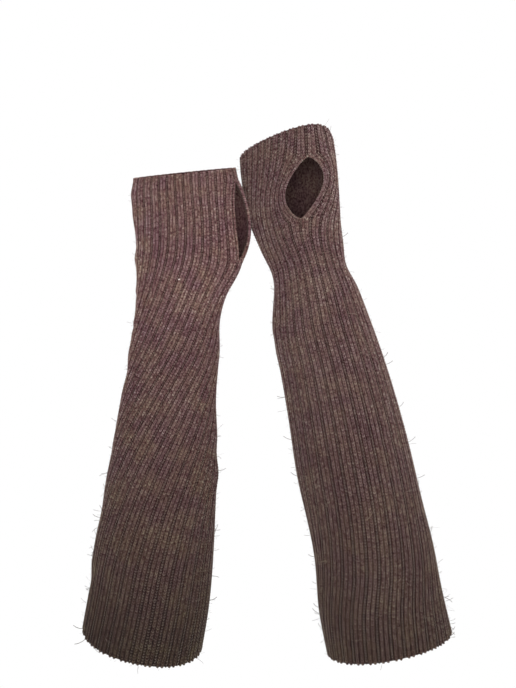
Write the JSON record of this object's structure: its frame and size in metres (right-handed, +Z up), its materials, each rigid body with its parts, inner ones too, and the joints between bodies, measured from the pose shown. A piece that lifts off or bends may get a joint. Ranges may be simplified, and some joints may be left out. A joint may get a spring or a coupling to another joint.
{
  "type": "pair of fingerless mittens",
  "caption": "Long ribbed knit fingerless mittens, worn: a left and a right open tube from below the elbow to the knuckles, each with a thumb hole and ribs that wind round the forearm.",
  "frame": {"origin": "middle of the left wrist, inside the left mitten, where the wearer's arm holds it", "axes": "+Z up along the raised arms towards the fingers, +X towards the right mitten, -Y towards the viewer, who sees the back of the left hand and the thumb side of the right hand"},
  "size_m": [0.2776, 0.0943, 0.3919],
  "materials": {
    "rib_knit": "dark taupe heathered wool-blend knit in two-by-two rib, soft, with a halo of fine fibres"
  },
  "bodies": {
    "root": {"left_mitten": "rib_knit", "right_mitten": "rib_knit"}
  },
  "joints": []
}
